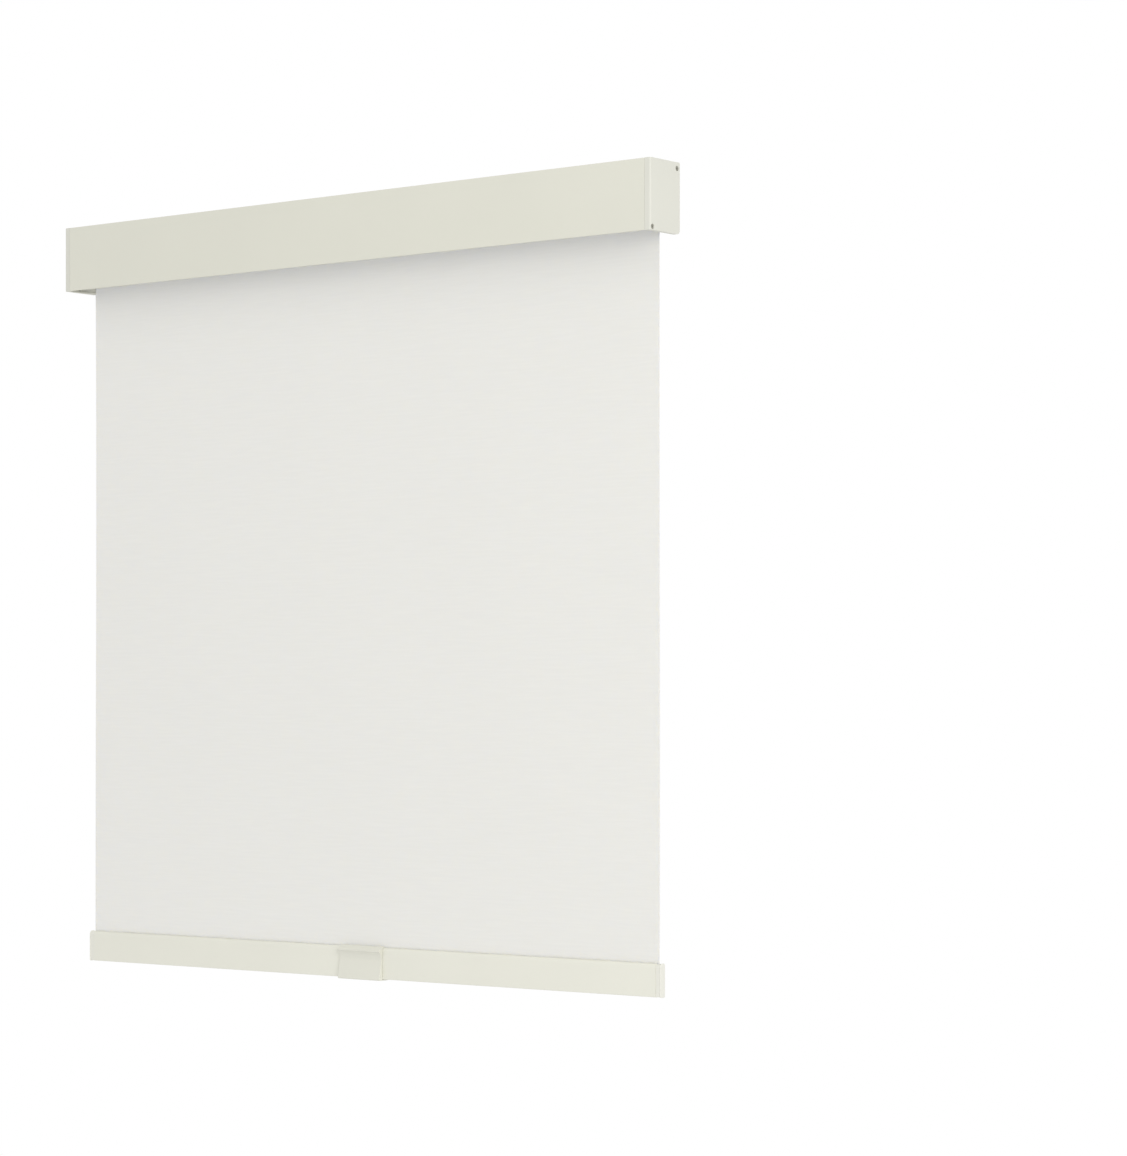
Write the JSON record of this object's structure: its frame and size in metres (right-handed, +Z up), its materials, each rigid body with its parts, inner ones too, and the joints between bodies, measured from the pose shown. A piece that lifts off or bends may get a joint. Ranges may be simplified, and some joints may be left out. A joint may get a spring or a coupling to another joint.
{
  "type": "roller shade",
  "caption": "Cordless roller shade in a square cassette: spring roller, hanging light-filtering fabric, flat bottom rail with a finger pull, and clip brackets for ceiling or wall.",
  "frame": {"origin": "middle of the ceiling screw slots of the two mounting brackets, on the face that meets the ceiling", "axes": "+X along the shade to its spring end, -Y is the front that faces the room, +Z up"},
  "size_m": [0.914, 0.054, 0.9184],
  "materials": {
    "cassette_paint": "satin cream powder coat over aluminium",
    "cap_plastic": "satin cream moulding",
    "rail_paint": "satin cream powder coat over aluminium",
    "pull_plastic": "satin cream moulding",
    "shade_fabric": "light-filtering plain weave",
    "bracket_steel": "zinc plated sheet",
    "latch_plastic": "moulded",
    "mechanism_steel": "drawn steel",
    "screw_steel": "black oxide",
    "tube_aluminium": "mill finish",
    "inner_plastic": "moulded",
    "tape_film": "clear film"
  },
  "bodies": {
    "headrail": {"fascia_profile": "cassette_paint", "end_cap_left": "cap_plastic", "end_cap_right": "cap_plastic", "cap_screws_left": "screw_steel", "cap_screws_right": "screw_steel", "mounting_bracket_left": "bracket_steel", "mounting_bracket_right": "bracket_steel", "latch_rivet_left": "mechanism_steel", "latch_rivet_right": "mechanism_steel", "spring_shaft": "mechanism_steel", "spring_anchor": "inner_plastic", "torsion_spring": "mechanism_steel", "brake_hub": "inner_plastic", "brake_spring": "mechanism_steel", "shaft_clip": "mechanism_steel", "fabric_drop": "shade_fabric"},
    "roller": {"roller_tube": "tube_aluminium", "idle_plug": "inner_plastic", "idle_retainer": "inner_plastic", "idle_pin_spring": "mechanism_steel", "bearing_plug": "inner_plastic", "spring_crown": "inner_plastic", "brake_cup": "inner_plastic", "fabric_tape": "tape_film", "fabric_roll": "shade_fabric"},
    "pin": {"idle_pin": "mechanism_steel"},
    "latch_left": {"latch_lever_left": "latch_plastic"},
    "latch_right": {"latch_lever_right": "latch_plastic"},
    "rail": {"bottom_rail": "rail_paint", "rail_end_cap_left": "cap_plastic", "rail_end_cap_right": "cap_plastic", "fabric_hem": "shade_fabric", "hem_spline": "inner_plastic", "pull_handle": "pull_plastic"}
  },
  "joints": [
    {"name": "shade_lift", "type": "slide", "parent": "headrail", "child": "rail", "axis": [0, 0, 1], "range_m": [0, 0.795], "deforming": ["fabric_drop"]},
    {"name": "roller_spin", "type": "hinge", "parent": "headrail", "child": "roller", "pos_m": [0, -0.00387, -0.04], "axis": [1, 0, 0], "range_deg": [0, 2881]},
    {"name": "idle_pin_slide", "type": "slide", "parent": "roller", "child": "pin", "axis": [1, 0, 0], "range_m": [0, 0.006], "stiffness_N_per_m": 600, "springref_m": -0.006, "deforming": ["idle_pin_spring"]},
    {"name": "latch_turn_left", "type": "hinge", "parent": "headrail", "child": "latch_left", "pos_m": [-0.315, 0, -0.004], "axis": [0, 0, 1], "range_deg": [0, 75]},
    {"name": "latch_turn_right", "type": "hinge", "parent": "headrail", "child": "latch_right", "pos_m": [0.315, 0, -0.004], "axis": [0, 0, -1], "range_deg": [0, 75]}
  ],
  "couplings": [
    {"joint": "roller_spin", "follows": "shade_lift", "rad_per_m": 63.227}
  ]
}
